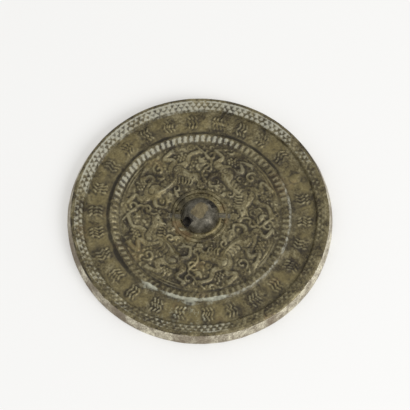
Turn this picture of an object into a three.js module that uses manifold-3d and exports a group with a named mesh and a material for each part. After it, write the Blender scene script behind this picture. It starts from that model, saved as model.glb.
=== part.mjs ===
// Ancient bronze mirror: one casting, lying on its reflecting face with the decorated back up.
// The cord hole through the knob runs along X. Millimetres, +Z up, origin under the centre.
import * as THREE from 'three';
import { mergeVertices } from 'three/addons/utils/BufferGeometryUtils.js';
import Module from 'manifold-3d';

// ---- Turned section of the disc -------------------------------------------------------
const FOOT_R = 65; // edge of the reflecting face, the widest part
const FOOT_BREAK = 0.4; // worn corner at the foot
const EDGE_R = 63.2; // top of the flared wall
const EDGE_Z = 6.2;
const PEAK_R = 61.9; // highest line of the rim
const PEAK_Z = 6.7;
const SLOPE_R = 57.4; // inner end of the rim's sloping band
const SLOPE_Z = 5.3;
const BAND_OUT_R = 56.5; // inscription band
const BAND_IN_R = 45.6;
const BAND_Z = 3.6;
const RIDGE_OUT_R = 44; // crest of the ridge between the band and the field
const RIDGE_IN_R = 43.3;
const RIDGE_Z = 4.9;
const FIELD_R = 39.9; // relief field
const FIELD_Z = 3.3;
const DISC_SIDES = 84;

// ---- Knob and its rings ---------------------------------------------------------------
const KNOB_R = 9.3;
const KNOB_FOOT_Z = 3.9;
const KNOB_TOP_Z = 10.9;
const KNOB_FLAT_R = 3.2; // worn flat on top
const KNOB_SIDES = 32;
const KNOB_STEPS = 5;
const COLLAR_R = 10.5;
const RING_R = 13.1; // middle of the raised ring round the knob
const RING_W = 2.2;
const RING_H = 1;

// ---- Cord hole ------------------------------------------------------------------------
const HOLE_W = 4.8;
const HOLE_H = 4.7;
const HOLE_FLOOR_Z = 4.7;
const HOLE_CORNER = 0.6;

// ---- Toothed bands --------------------------------------------------------------------
const RIDGE_TEETH = DISC_SIDES; // one to a side of the disc
const RIDGE_TOOTH_H = 0.55;
const RIM_TEETH = DISC_SIDES; // each stands for one and a half of the fine teeth
const RIM_TOOTH_H = 0.5;
const RIM_TOOTH_LEN = 1.6;
const RIM_ROWS = [59.3, 57.6]; // foot radius of each row
const TOOTH_FILL = 0.9; // part of the pitch that a tooth takes

// ---- Inscription band: blocks of shallow strokes ---------------------------------------
const BLOCKS = 26;
const BLOCK_TURN = 1.67; // degrees from +X to the first block
const BARE_BLOCK = 25; // a plain low mound instead of strokes
const STROKE_ROWS = 2;
const STROKES_IN_ROW = 3;
const STROKE_PITCH = 1.9;
const ROW_PITCH = 2.7;
const STROKE_LEN = 2.4;
const STROKE_W = 1;
const STROKE_H = 0.6;
const STROKE_LEAN = 0.5; // radians either side of the radius

// ---- Running beasts -------------------------------------------------------------------
const BEASTS = 4;
const BEAST_TURN = 4; // degrees from +X to the first beast
const LANE_R = 26; // radius that a beast's body follows
const RELIEF_H = 1.3;
const SINK = 0.5; // how far raised forms run down into the metal

// A beast is drawn along its lane as [s, t]: s runs forward, t outward from LANE_R.
const BODY = { line: [[-9.5, 0], [-4, -2.6], [2, -2.4], [7.5, 0.6]], widths: [7, 6, 6.4, 7] };
const NECK = { line: [[8, 0], [11, -2.8], [13.5, -4.6]], widths: [6, 5, 3.6] };
const FAR_HIND = { line: [[-11, 1], [-15, 3.4], [-13.6, 7.4], [-17, 10]], widths: [5.6, 3.2, 2.2, 2.4] };
const NEAR_HIND = { line: [[-7.5, 2.4], [-4, 5.8], [-6.6, 9], [-3, 11]], widths: [5, 3.2, 2.2, 2.6] };
const FAR_FORE = { line: [[8.6, 2], [12.6, 3.6], [14.4, 7.4], [18, 9]], widths: [5, 3, 2.2, 2.4] };
const NEAR_FORE = { line: [[5.6, 3], [7.6, 6.4], [4.6, 9.2], [8, 11.2]], widths: [4.6, 3, 2.2, 2.6] };
const TAIL = { line: [[-12, -1.6], [-16, -4], [-15.4, -8.6], [-11.4, -8.4]], widths: [2.8, 2.4, 2, 1.4] };
const LIMBS = [NECK, FAR_HIND, NEAR_HIND, FAR_FORE, NEAR_FORE, TAIL];
const HAUNCH = { at: [-9, 0.4], rx: 5.4, ry: 4.8, height: 1.5 };
const SHOULDER = { at: [7, 0.8], rx: 4.6, ry: 4.4, height: 1.4 };
const HEAD = { at: [14.4, -5], rx: 3.8, ry: 3, height: 1.6 };
const FORMS = [HAUNCH, SHOULDER, HEAD];

// Vine curls between two beasts, on the same lane: centre, size and hand.
const CURLS = [
  { at: [20.6, -6.6], radius: 2.6, hand: 1 },
  { at: [21.8, 0], radius: 2.9, hand: -1 },
  { at: [22.6, 7.6], radius: 3.1, hand: 1 },
  { at: [0.6, -7.2], radius: 2.3, hand: -1 },
  { at: [0.6, 6.4], radius: 3, hand: 1 },
];

const TAU = Math.PI * 2;
const wasm = await Module();
wasm.setup();

/** Merges the seams of a closed geometry and drops its zero-area triangles. */
function weld(geometry) {
  const bare = geometry.clone();
  bare.deleteAttribute('normal');
  bare.deleteAttribute('uv');
  const merged = mergeVertices(bare, 1e-4);
  const index = merged.index.array;
  const kept = [];
  for (let i = 0; i < index.length; i += 3) {
    const [a, b, c] = index.slice(i, i + 3);
    if (a !== b && b !== c && c !== a) kept.push(a, b, c);
  }
  merged.setIndex(kept);
  return merged;
}

/** Closed geometry to a solid that can be joined and cut, with its faces turned outward. */
function solid(geometry) {
  const welded = weld(geometry);
  const vertProperties = new Float32Array(welded.attributes.position.array);
  const triVerts = new Uint32Array(welded.index.array);
  const body = new wasm.Manifold(new wasm.Mesh({ numProp: 3, vertProperties, triVerts }));
  if (body.volume() > 0) return body;
  triVerts.reverse();
  return new wasm.Manifold(new wasm.Mesh({ numProp: 3, vertProperties, triVerts }));
}

/** Solid back to a geometry with flat faces. */
function geometryOf(body) {
  const mesh = body.getMesh();
  const geometry = new THREE.BufferGeometry();
  geometry.setAttribute('position', new THREE.BufferAttribute(mesh.vertProperties, 3));
  geometry.setIndex(new THREE.BufferAttribute(mesh.triVerts, 1));
  const flat = geometry.toNonIndexed();
  flat.computeVertexNormals();
  return flat;
}

/** Geometry from corner points and the triangles between them. */
function faceted(corners, triangles) {
  const geometry = new THREE.BufferGeometry();
  geometry.setAttribute('position', new THREE.Float32BufferAttribute(corners.flat(), 3));
  geometry.setIndex(triangles.flat());
  return geometry;
}

/** Solid turned about Z from a profile of [radius, height] that starts and ends on the axis. */
function turned(profile, sides) {
  const points = profile.map(([r, z]) => new THREE.Vector2(r, z));
  const lathe = new THREE.LatheGeometry(points, sides);
  lathe.rotateX(Math.PI / 2);
  return solid(lathe);
}

/** Capped solid from rings of corners, one ring a station. */
function loft(rings) {
  const n = rings[0].length;
  const end = (rings.length - 1) * n;
  const triangles = [];
  for (let here = 0; here < end; here += n) {
    for (let k = 0; k < n; k++) {
      const m = (k + 1) % n;
      triangles.push([here + k, here + m, here + n + m], [here + k, here + n + m, here + n + k]);
    }
  }
  for (let k = 1; k < n - 1; k++) {
    triangles.push([0, k + 1, k], [end, end + k, end + k + 1]);
  }
  return solid(faceted(rings.flat(), triangles));
}

/** Four-cornered solid, for a tooth or a wedge-shaped stroke. */
function wedge(corners) {
  return solid(faceted(corners, [[0, 1, 2], [0, 3, 1], [1, 3, 2], [2, 3, 0]]));
}

/** All the solids of a list joined in one. */
function join(parts) {
  return parts.reduce((sum, part) => sum.add(part));
}

/** Point at a radius, an angle and a height. */
function polar(r, angle, z = 0) {
  return [r * Math.cos(angle), r * Math.sin(angle), z];
}

/** Disc with its wall, rim, inscription band, ridge and field. */
function disc() {
  return turned(
    [
      [0, 0],
      [FOOT_R - FOOT_BREAK, 0],
      [FOOT_R, FOOT_BREAK],
      [EDGE_R, EDGE_Z],
      [PEAK_R, PEAK_Z],
      [SLOPE_R, SLOPE_Z],
      [BAND_OUT_R, BAND_Z],
      [BAND_IN_R, BAND_Z],
      [RIDGE_OUT_R, RIDGE_Z],
      [RIDGE_IN_R, RIDGE_Z],
      [FIELD_R, FIELD_Z],
      [0, FIELD_Z],
    ],
    DISC_SIDES,
  );
}

/** Domed knob on its collar, with the raised ring that runs round it. */
function knob() {
  const top = Math.acos(KNOB_FLAT_R / KNOB_R);
  const dome = [];
  for (let i = 0; i <= KNOB_STEPS; i++) {
    const turn = (i / KNOB_STEPS) * top;
    const rise = Math.sin(turn) / Math.sin(top);
    dome.push([KNOB_R * Math.cos(turn), KNOB_FOOT_Z + (KNOB_TOP_Z - KNOB_FOOT_Z) * rise]);
  }
  const groove = FIELD_Z + 0.1;
  return turned(
    [
      [0, FIELD_Z - SINK],
      [RING_R + RING_W / 2, FIELD_Z - SINK],
      [RING_R + RING_W / 2, groove],
      [RING_R + RING_W / 5, FIELD_Z + RING_H],
      [RING_R - RING_W / 5, FIELD_Z + RING_H],
      [RING_R - RING_W / 2, groove],
      [COLLAR_R, groove],
      [COLLAR_R - 0.5, KNOB_FOOT_Z],
      ...dome,
      [0, KNOB_TOP_Z],
    ],
    KNOB_SIDES,
  );
}

/** Cord hole: a passage with broken corners along X, longer than the knob is wide. */
function cordHole() {
  const half = HOLE_W / 2;
  const inner = half - HOLE_CORNER;
  const roof = HOLE_FLOOR_Z + HOLE_H;
  const section = [
    [inner, HOLE_FLOOR_Z],
    [half, HOLE_FLOOR_Z + HOLE_CORNER],
    [half, roof - HOLE_CORNER],
    [inner, roof],
    [-inner, roof],
    [-half, roof - HOLE_CORNER],
    [-half, HOLE_FLOOR_Z + HOLE_CORNER],
    [-inner, HOLE_FLOOR_Z],
  ];
  const reach = KNOB_R + 1;
  return loft([-reach, reach].map((x) => section.map(([y, z]) => [x, y, z])));
}

/** Height of a straight slope between two [radius, height] points. */
function slopeZ(r, [r0, z0], [r1, z1]) {
  return THREE.MathUtils.mapLinear(r, r0, r1, z0, z1);
}

/** Ring of pointed teeth on a slope, from a wide foot at one radius to a tip at another. */
function teeth({ count, foot, tip, low, high, height }) {
  const half = (Math.PI / count) * TOOTH_FILL;
  const on = (r, angle, lift) => polar(r, angle, slopeZ(r, low, high) + lift);
  const parts = [];
  for (let i = 0; i < count; i++) {
    const at = ((i + 0.5) / count) * TAU;
    const crown = THREE.MathUtils.lerp(foot, tip, 0.2);
    parts.push(
      wedge([
        on(foot, at - half, -0.1),
        on(tip, at, -0.1),
        on(foot, at + half, -0.1),
        on(crown, at, height),
      ]),
    );
  }
  return join(parts);
}

/** Serration on the inner slope of the ridge. */
function ridgeTeeth() {
  return teeth({
    count: RIDGE_TEETH,
    foot: FIELD_R + 0.5,
    tip: RIDGE_IN_R - 0.2,
    low: [FIELD_R, FIELD_Z],
    high: [RIDGE_IN_R, RIDGE_Z],
    height: RIDGE_TOOTH_H,
  });
}

/** One row of sawteeth on the rim, aimed outward. */
function rimTeeth(foot) {
  return teeth({
    count: RIM_TEETH,
    foot,
    tip: foot + RIM_TOOTH_LEN,
    low: [SLOPE_R, SLOPE_Z],
    high: [PEAK_R, PEAK_Z],
    height: RIM_TOOTH_H,
  });
}

/** Angle of the middle of a block of the inscription band. */
function blockAngle(block) {
  return THREE.MathUtils.degToRad(BLOCK_TURN) + (block / BLOCKS) * TAU;
}

/** Plain low mound on the inscription band. */
function mound(r, at) {
  const ball = new THREE.SphereGeometry(1, 8, 4);
  ball.rotateX(Math.PI / 2);
  ball.scale(3.1, 2.6, 0.75);
  ball.rotateZ(at);
  const [x, y] = polar(r, at);
  ball.translate(x, y, BAND_Z);
  return solid(ball);
}

/** Wedge-shaped stroke on the inscription band, leaning off the radius. */
function stroke(r, at, length, lean) {
  const [x, y] = polar(r, at);
  const along = new THREE.Vector2(Math.cos(at + lean), Math.sin(at + lean));
  const corner = (l, w, z) => [x + along.x * l - along.y * w, y + along.y * l + along.x * w, z];
  const low = BAND_Z - 0.1;
  return wedge([
    corner(-length / 2, -STROKE_W / 2, low),
    corner(length / 2, 0, low),
    corner(-length / 2, STROKE_W / 2, low),
    corner(-length * 0.3, 0, BAND_Z + STROKE_H),
  ]);
}

/** Rows of shallow strokes, one block of them to each part of the inscription band. */
function strokes() {
  const middle = (BAND_OUT_R + BAND_IN_R) / 2;
  const parts = [mound(middle, blockAngle(BARE_BLOCK))];
  for (let block = 0; block < BLOCKS; block++) {
    if (block === BARE_BLOCK) continue;
    for (let row = 0; row < STROKE_ROWS; row++) {
      const r = middle + (row - (STROKE_ROWS - 1) / 2) * ROW_PITCH;
      const lean = (row % 2 ? 1 : -1) * STROKE_LEAN * (block % 2 ? 1 : 0.4);
      for (let i = 0; i < STROKES_IN_ROW; i++) {
        const aside = (i - (STROKES_IN_ROW - 1) / 2) * STROKE_PITCH;
        parts.push(stroke(r, blockAngle(block) + aside / r, STROKE_LEN, lean));
      }
    }
  }
  return join(parts);
}

/** Raised bar along a smooth line of points, sharp on top or with a flat crest. */
function bar(points, widths, height, steps, crest = 0) {
  const curve = new THREE.CatmullRomCurve3(points.map(([x, y]) => new THREE.Vector3(x, y, 0)));
  const rings = [];
  for (let i = 0; i <= steps; i++) {
    const u = i / steps;
    const at = curve.getPoint(u);
    const along = curve.getTangent(u);
    const place = u * (widths.length - 1);
    const k = Math.min(Math.floor(place), widths.length - 2);
    const half = THREE.MathUtils.lerp(widths[k], widths[k + 1], place - k) / 2;
    const foot = half * (1 + SINK / height);
    const top = crest > 0 ? [[half * crest, height], [-half * crest, height]] : [[0, height]];
    const section = [[foot, -SINK], ...top, [-foot, -SINK]];
    rings.push(section.map(([w, z]) => [at.x - along.y * w, at.y + along.x * w, FIELD_Z + z]));
  }
  return loft(rings);
}

/** Point of a beast's lane in the plane of the disc. */
function lane([s, t], turn) {
  const [x, y] = polar(LANE_R + t, turn - s / LANE_R);
  return [x, y];
}

/** Low dome for a haunch, a shoulder or a head. */
function dome({ at, rx, ry, height }, turn) {
  const ball = new THREE.SphereGeometry(1, 8, 4);
  ball.rotateX(Math.PI / 2);
  ball.scale(rx, ry, height);
  ball.rotateZ(turn - at[0] / LANE_R + Math.PI / 2);
  const [x, y] = lane(at, turn);
  ball.translate(x, y, FIELD_Z);
  return solid(ball);
}

/** One running beast in low relief. */
function beast(turn) {
  const place = (line) => line.map((point) => lane(point, turn));
  const body = bar(place(BODY.line), BODY.widths, RELIEF_H, 4, 0.5);
  const limbs = LIMBS.map(({ line, widths }) => bar(place(line), widths, RELIEF_H * 0.85, 4));
  return join([body, ...limbs, ...FORMS.map((form) => dome(form, turn))]);
}

/** Curl of vine: a short spiral that closes on its eye. */
function curl({ at, radius, hand }, turn) {
  const [x, y] = lane(at, turn);
  const steps = 5;
  const points = [];
  for (let i = 0; i <= steps; i++) {
    const reach = radius * (1 - 0.6 * (i / steps));
    const angle = turn + hand * (i / steps) * Math.PI * 1.5;
    points.push([x + reach * Math.cos(angle), y + reach * Math.sin(angle)]);
  }
  return bar(points, [1.2, 1.7, 1.1], RELIEF_H * 0.7, 5);
}

/** The beasts, and the vine curls that fill the field between them. */
function relief() {
  const parts = [];
  for (let i = 0; i < BEASTS; i++) {
    const turn = THREE.MathUtils.degToRad(BEAST_TURN) + (i / BEASTS) * TAU;
    parts.push(beast(turn), ...CURLS.map((item) => curl(item, turn)));
  }
  return join(parts);
}

/** The whole casting. */
function mirror() {
  const blank = join([disc(), knob(), ridgeTeeth(), ...RIM_ROWS.map(rimTeeth), strokes(), relief()]);
  return blank.subtract(cordHole());
}

const bronze = new THREE.MeshStandardMaterial({ color: 0x6b6446, roughness: 0.55, metalness: 0.7 });
const casting = new THREE.Mesh(geometryOf(mirror()), bronze);
casting.name = 'mirror_casting';

const group = new THREE.Group();
group.name = 'ancient_bronze_mirror';
group.add(casting);

export default group;
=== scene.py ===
"""Dressed model of an ancient bronze mirror, lying on its reflecting face with the cast back up.

The casting is one closed mesh: turned shells, bridged at their edges, with the relief chased into
them, and a cord hole cut through the knob. Lengths are in millimetres and become metres where a
mesh is made. Bearings are degrees clockwise, seen from above, from the right hand of the viewer.
"""

import logging
import math
from collections.abc import Sequence
from dataclasses import dataclass, field
from enum import Enum

import bpy
import numpy as np
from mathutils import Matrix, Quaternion, Vector


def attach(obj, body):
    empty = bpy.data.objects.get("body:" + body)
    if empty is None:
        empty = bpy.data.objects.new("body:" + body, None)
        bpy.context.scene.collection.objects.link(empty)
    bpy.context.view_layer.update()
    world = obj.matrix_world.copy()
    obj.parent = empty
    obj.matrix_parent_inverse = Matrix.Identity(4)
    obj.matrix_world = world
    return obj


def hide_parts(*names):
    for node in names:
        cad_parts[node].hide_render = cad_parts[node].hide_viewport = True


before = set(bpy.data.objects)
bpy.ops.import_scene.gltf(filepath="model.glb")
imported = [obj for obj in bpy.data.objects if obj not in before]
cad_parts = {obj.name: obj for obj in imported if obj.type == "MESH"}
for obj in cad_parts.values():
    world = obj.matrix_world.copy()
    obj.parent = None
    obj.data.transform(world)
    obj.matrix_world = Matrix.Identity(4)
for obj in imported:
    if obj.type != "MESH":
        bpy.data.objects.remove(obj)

LOG = logging.getLogger("bronze_mirror")
MM = 0.001
TAU = 2 * math.pi
WELD = 2e-6  # metres
SEED = 618

VIEW_AZIMUTH = -36.87  # degrees, where the viewer stands
VIEW_ELEVATION = 66.2

Array = np.ndarray
Point = tuple[float, float]
Socket = bpy.types.NodeSocket


# ---- Small helpers ----------------------------------------------------------------------


def deselect_all() -> None:
    """Deselects every object, the CAD nodes among them."""
    if bpy.context.mode != "OBJECT":
        bpy.ops.object.mode_set(mode="OBJECT")
    bpy.ops.object.select_all(action="DESELECT")


def make_active(*pieces: bpy.types.Object) -> None:
    """Selects some objects alone, and makes the first the active one."""
    deselect_all()
    for piece in pieces:
        piece.select_set(True)
    bpy.context.view_layer.objects.active = pieces[0]


def bearing(x: Array, y: Array) -> Array:
    """Bearing of points, in degrees from 0 to 360."""
    return (VIEW_AZIMUTH - np.degrees(np.arctan2(y, x))) % 360


def ease(value: Array, low: float, high: float) -> Array:
    """Smooth step from 0 at low to 1 at high; low may be the larger."""
    t = np.clip((value - low) / (high - low), 0, 1)
    return t * t * (3 - 2 * t)


def arc_window(at: Array, start: float, end: float, soft: float) -> Array:
    """1 between two bearings, falling to 0 over a soft edge outside them.

    Args:
        at: Bearings, in degrees.
        start: First bearing of the window.
        end: Last bearing, clockwise from start; it may pass 360.
        soft: Width of each edge, in degrees.

    Returns:
        The window's value at each bearing.
    """
    middle = (start + end) / 2
    half = (end - start) / 2
    off = np.abs((at - middle + 180) % 360 - 180)
    return 1 - ease(off, half, half + soft)


def smooth_line(points: Sequence[Point], step: float) -> Array:
    """Closely spaced points of a smooth curve through a few points.

    Args:
        points: The points that the curve passes through.
        step: Rough distance between the points returned.

    Returns:
        An array of points, one row each.
    """
    given = np.asarray(points, float)
    ends = np.vstack([2 * given[0] - given[1], given, 2 * given[-1] - given[-2]])
    pieces = []
    for a, b, c, d in zip(ends, ends[1:], ends[2:], ends[3:]):
        count = max(2, int(np.hypot(*(c - b)) / step))
        t = np.linspace(0, 1, count, endpoint=False)[:, None]
        even = 2 * b + (c - a) * t
        pieces.append(0.5 * (even + (2 * a - 5 * b + 4 * c - d) * t**2 + (3 * b - a - 3 * c + d) * t**3))
    return np.vstack([*pieces, given[-1:]])


# ---- The turned section ------------------------------------------------------------------


@dataclass(frozen=True)
class Section:
    """Driving sizes of the turned disc, the same as the solid's."""

    foot_r: float = 65
    foot_break: float = 0.4
    edge_r: float = 63.2
    edge_z: float = 6.2
    peak_r: float = 61.9
    peak_z: float = 6.7
    slope_r: float = 57.4
    slope_z: float = 5.3
    band_out_r: float = 56.5
    band_in_r: float = 45.6
    band_z: float = 3.6
    ridge_out_r: float = 44.0
    ridge_in_r: float = 43.3
    ridge_z: float = 4.9
    field_r: float = 39.9
    field_z: float = 3.3
    knob_r: float = 9.3
    knob_foot_z: float = 3.9
    knob_top_z: float = 10.9
    knob_flat_r: float = 3.2
    collar_r: float = 10.5
    ring_r: float = 13.1
    ring_w: float = 2.2
    ring_h: float = 1.0


# ---- The relief sheet --------------------------------------------------------------------


@dataclass
class ReliefSheet:
    """Height of the cast decoration above the turned disc, on a fine square sheet."""

    half: float = 66.0
    pitch: float = 0.16
    height: Array = field(init=False)
    x: Array = field(init=False)
    y: Array = field(init=False)

    def __post_init__(self) -> None:
        """Lays out an empty sheet."""
        count = int(2 * self.half / self.pitch) + 1
        axis = np.linspace(-self.half, self.half, count)
        self.x, self.y = np.meshgrid(axis, axis)
        self.height = np.zeros_like(self.x)

    @property
    def r(self) -> Array:
        """Radius of every place on the sheet."""
        return np.hypot(self.x, self.y)

    def window(self, x: float, y: float, reach: float) -> tuple[slice, slice]:
        """Rows and columns within reach of a point."""
        low = [int((v - reach + self.half) / self.pitch) for v in (y, x)]
        high = [int((v + reach + self.half) / self.pitch) + 2 for v in (y, x)]
        return slice(max(low[0], 0), high[0]), slice(max(low[1], 0), high[1])

    def press(
        self,
        x: float,
        y: float,
        rx: float,
        ry: float,
        height: float,
        turn: float = 0.0,
        fall: float = 0.6,
    ) -> None:
        """Raises an oval dome, where it stands higher than what is there.

        Args:
            x: Place of its middle.
            y: Place of its middle.
            rx: Half width along its own first axis.
            ry: Half width across that.
            height: Height of its crown; below 0 it is a hollow, sunk into what is there.
            turn: Angle of its first axis, in radians.
            fall: How soon it falls from its crown: 0.5 is a ball, 1 is softer.
        """
        place = self.window(x, y, max(rx, ry))
        dx = self.x[place] - x
        dy = self.y[place] - y
        c, s = math.cos(turn), math.sin(turn)
        near = 1 - ((dx * c + dy * s) / rx) ** 2 - ((dy * c - dx * s) / ry) ** 2
        crown = np.clip(near, 0, 1) ** fall
        if height > 0:
            self.height[place] = np.maximum(self.height[place], height * crown)
        else:
            self.height[place] += height * crown

    def raise_line(
        self,
        points: Sequence[Point],
        widths: Sequence[float],
        heights: Sequence[float],
        fall: float = 0.6,
    ) -> None:
        """Raises a rounded bar along a smooth line.

        Args:
            points: Points that the bar's middle passes through.
            widths: Full widths, evenly spaced along the bar.
            heights: Heights of its crown, evenly spaced along the bar.
            fall: How soon its sides fall from its crown.
        """
        line = smooth_line(points, 0.22)
        along = np.linspace(0, 1, len(line))
        half = np.interp(along, np.linspace(0, 1, len(widths)), widths) / 2
        crown = np.interp(along, np.linspace(0, 1, len(heights)), heights)
        for (x, y), w, h in zip(line, half, crown):
            self.press(x, y, w, w, h, fall=fall)

    def cut_line(self, points: Sequence[Point], width: float, depth: float) -> None:
        """Cuts a round-bottomed groove along a smooth line."""
        kept = self.height
        self.height = np.zeros_like(kept)
        self.raise_line(points, [width * 0.6, width, width * 0.6], [depth])
        self.height = kept - self.height

    def is_bare(self, points: Sequence[Point], reach: float) -> bool:
        """Whether the ground within reach of a smooth line is still bare."""
        line = smooth_line(points, 0.5)
        for dx, dy in ((0, 0), (reach, 0), (-reach, 0), (0, reach), (0, -reach)):
            if self.read(self.height, line[:, 0] + dx, line[:, 1] + dy).max() > 0.25:
                return False
        return True

    def softened(self, values: Array, spread: float) -> Array:
        """Values blurred over the sheet by a bell curve.

        Args:
            values: One value for each place on the sheet.
            spread: Standard deviation of the bell, in millimetres.

        Returns:
            The blurred values.
        """
        rows = np.fft.fftfreq(values.shape[0], self.pitch)[:, None]
        cols = np.fft.rfftfreq(values.shape[1], self.pitch)[None, :]
        bell = np.exp(-2 * (math.pi * spread) ** 2 * (rows**2 + cols**2))
        return np.fft.irfft2(np.fft.rfft2(values) * bell, s=values.shape)

    def cloud(self, rng: np.random.Generator, grain: float) -> Array:
        """Smooth random values with mean 0 and deviation 1, with lumps of about a given size."""
        values = self.softened(rng.standard_normal(self.height.shape), grain / 2)
        return (values - values.mean()) / values.std()

    def read(self, values: Array, x: Array, y: Array) -> Array:
        """Values between the sheet's places, at any points."""
        u = np.clip((x + self.half) / self.pitch, 0, values.shape[1] - 1.001)
        v = np.clip((y + self.half) / self.pitch, 0, values.shape[0] - 1.001)
        i, j = v.astype(int), u.astype(int)
        fu, fv = u - j, v - i
        top = values[i, j] * (1 - fu) + values[i, j + 1] * fu
        low = values[i + 1, j] * (1 - fu) + values[i + 1, j + 1] * fu
        return top * (1 - fv) + low * fv


# ---- Toothed bands -----------------------------------------------------------------------


@dataclass(frozen=True)
class ToothRow:
    """Ring of raised teeth, wide at one radius and pointed at another."""

    count: int
    foot: float
    tip: float
    height: float
    fill: float = 0.9
    point: float = 0.1
    slant: float = 0.0
    phase: float = 0.5

    def carve(self, sheet: ReliefSheet) -> None:
        """Raises the row on a sheet."""
        r = sheet.r
        along = (r - self.foot) / (self.tip - self.foot)
        turns = np.arctan2(sheet.y, sheet.x) / TAU * self.count + self.phase + self.slant * along
        aside = np.abs(turns % 1 - 0.5)
        half = self.fill / 2 * (1 - (1 - self.point) * np.clip(along, 0, 1))
        side = np.clip((half - aside) / (0.35 * self.fill / 2), 0, 1)
        ends = np.clip(np.minimum(along, 1 - along) / 0.16 + 0.2, 0, 1)
        ends = ends * ((along > -0.03) & (along < 1.03))
        sheet.height = np.maximum(sheet.height, self.height * np.sqrt(side) * ends)


@dataclass(frozen=True)
class ToothedBands:
    """The serrated inner slope of the ridge, and the two rows and the fine line on the rim."""

    section: Section = Section()
    ridge_teeth: int = 90
    rim_teeth: int = 126
    rim_rows: tuple[float, ...] = (57.6, 59.3)
    rim_tooth_len: float = 1.6
    line_r: float = 61.15
    line_w: float = 0.7
    line_h: float = 0.32
    bar_h: float = 0.62
    tooth_h: float = 0.55

    def carve(self, sheet: ReliefSheet) -> None:
        """Raises all the toothed bands on a sheet."""
        s = self.section
        foot, tip = s.field_r + 0.4, s.ridge_in_r + 0.1
        bars = ToothRow(self.ridge_teeth, foot, tip, self.bar_h, fill=0.62, point=0.8, slant=0.12)
        bars.carve(sheet)
        for i, foot in enumerate(self.rim_rows):
            tip = foot + self.rim_tooth_len
            row = ToothRow(self.rim_teeth, foot, tip, self.tooth_h, fill=0.86, point=0.2, phase=0.5 * i)
            row.carve(sheet)
        ring = 1 - ((sheet.r - self.line_r) / (self.line_w / 2)) ** 2
        sheet.height = np.maximum(sheet.height, self.line_h * np.sqrt(np.clip(ring, 0, 1)))


# ---- Inscription band --------------------------------------------------------------------


@dataclass(frozen=True)
class StrokeBand:
    """Blocks of shallow leaning strokes in rows, round the inscription band."""

    section: Section = Section()
    blocks: int = 26
    bare_block: int = 24
    first_bearing: float = 3.0
    rows: int = 3
    row_pitch: float = 2.35
    stroke_pitch: float = 1.6
    stroke_len: float = 1.75
    stroke_w: float = 1.0
    stroke_h: float = 0.95

    def carve(self, sheet: ReliefSheet, rng: np.random.Generator) -> None:
        """Raises every block of strokes, and the one bare mound, on a sheet."""
        middle = (self.section.band_out_r + self.section.band_in_r) / 2 + 0.2
        for block in range(self.blocks):
            at = math.radians(VIEW_AZIMUTH - self.first_bearing - block * 360 / self.blocks)
            at += math.radians(rng.uniform(-0.9, 0.9))
            if block == self.bare_block:
                sheet.press(middle * math.cos(at), middle * math.sin(at), 3.1, 2.6, 0.75, at)
                continue
            self.carve_block(sheet, middle, at, block, rng)

    def carve_block(
        self, sheet: ReliefSheet, middle: float, at: float, block: int, rng: np.random.Generator
    ) -> None:
        """Raises one block: rows of three or four strokes that lean one way in each row.

        Args:
            sheet: The sheet that takes the strokes.
            middle: Radius of the block's middle.
            at: Angle of the block's middle, in radians.
            block: Number of the block, which sets how its rows lean.
            rng: Source of the small differences between strokes.
        """
        for row in range(self.rows):
            r = middle + (row - (self.rows - 1) / 2) * self.row_pitch
            strokes = 3 + (block * row + row) % 2
            lean = (0.6, -0.5, 0.45)[(block + row) % 3]
            for i in range(strokes):
                aside = (i - (strokes - 1) / 2) * self.stroke_pitch * 4 / (strokes + 0.6)
                turn = at + aside / r
                x, y = r * math.cos(turn), r * math.sin(turn)
                tilt = turn + lean + rng.uniform(-0.12, 0.12)
                reach = self.stroke_len / 2 * rng.uniform(0.75, 1.1)
                dx, dy = reach * math.cos(tilt), reach * math.sin(tilt)
                widths = [self.stroke_w * rng.uniform(0.9, 1.3), self.stroke_w * 0.75]
                height = self.stroke_h * rng.uniform(0.75, 1.1)
                sheet.raise_line([(x - dx, y - dy), (x + dx, y + dy)], widths, [height])


# ---- Running beasts and vines -------------------------------------------------------------


@dataclass(frozen=True)
class Lane:
    """The path that a beast runs along: s is forward, clockwise, and t is outward."""

    turn: float
    radius: float = 26.0

    def place(self, s: float, t: float) -> Point:
        """Point of the disc at a point of the lane."""
        r = self.radius + t
        angle = self.turn - s / self.radius
        return r * math.cos(angle), r * math.sin(angle)

    def heading(self, s: float) -> float:
        """Angle that the lane runs at, on the disc."""
        return self.turn - s / self.radius + math.pi / 2

    def line(self, points: Sequence[Point]) -> list[Point]:
        """Points of the disc for a line of lane points."""
        return [self.place(s, t) for s, t in points]


@dataclass(frozen=True)
class Limb:
    """A bar of a beast's body: lane points, and the widths and heights along them."""

    points: tuple[Point, ...]
    widths: tuple[float, ...]
    heights: tuple[float, ...] = (1.2, 1.1, 0.95, 1.0)


class Gait(Enum):
    """How a beast holds its head: 1 looks ahead and -1 looks back over its shoulder."""

    RUNNING = (1, 5)
    LOOKING_BACK = (-1, 6)
    LEAPING = (1, 7)
    TURNING = (-1, 4)

    @property
    def facing(self) -> int:
        """Which way the muzzle points along the lane."""
        return self.value[0]

    @property
    def locks(self) -> int:
        """Number of locks in the mane."""
        return self.value[1]


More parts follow.
